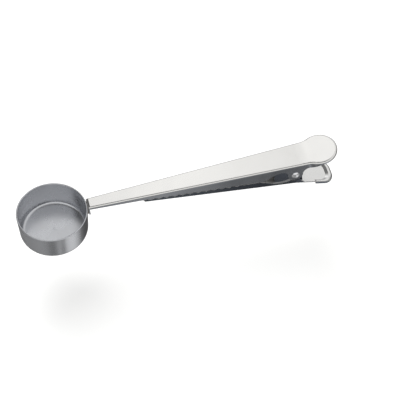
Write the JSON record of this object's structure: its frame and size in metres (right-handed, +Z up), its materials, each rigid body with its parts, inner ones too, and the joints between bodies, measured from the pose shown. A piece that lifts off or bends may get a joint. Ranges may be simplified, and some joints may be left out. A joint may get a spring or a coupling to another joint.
{
  "type": "coffee scoop with bag clip",
  "caption": "Stainless steel coffee scoop whose long channel handle is one jaw of a spring bag clip, with a toothed clip arm hinged under it.",
  "frame": {"origin": "centre of the bowl's flat base", "axes": "+Z up out of the bowl, +X from the bowl along the handle, +Y to the left seen from the bowl"},
  "size_m": [0.181, 0.039, 0.0256],
  "materials": {
    "bowl_steel": "satin polished stainless steel",
    "handle_steel": "polished stainless steel",
    "arm_steel": "polished stainless steel",
    "weld_steel": "cleaned weld metal",
    "rivet_steel": "polished rivet head",
    "sleeve_steel": "plain turned tube",
    "spring_steel": "drawn spring wire"
  },
  "bodies": {
    "scoop": {"scoop_bowl": "bowl_steel", "handle": "handle_steel", "weld_bead": "weld_steel", "pivot_rivet": "rivet_steel", "spring_sleeve": "sleeve_steel", "torsion_spring": "spring_steel"},
    "clip": {"clip_arm": "arm_steel"}
  },
  "joints": [
    {"name": "clip_hinge", "type": "hinge", "parent": "scoop", "child": "clip", "pos_m": [0.13602, 0, 0.0152], "axis": [0, -1, 0], "range_deg": [0, 43], "stiffness_Nm_per_rad": 0.085, "springref_deg": -68.75, "deforming": ["torsion_spring"]}
  ]
}
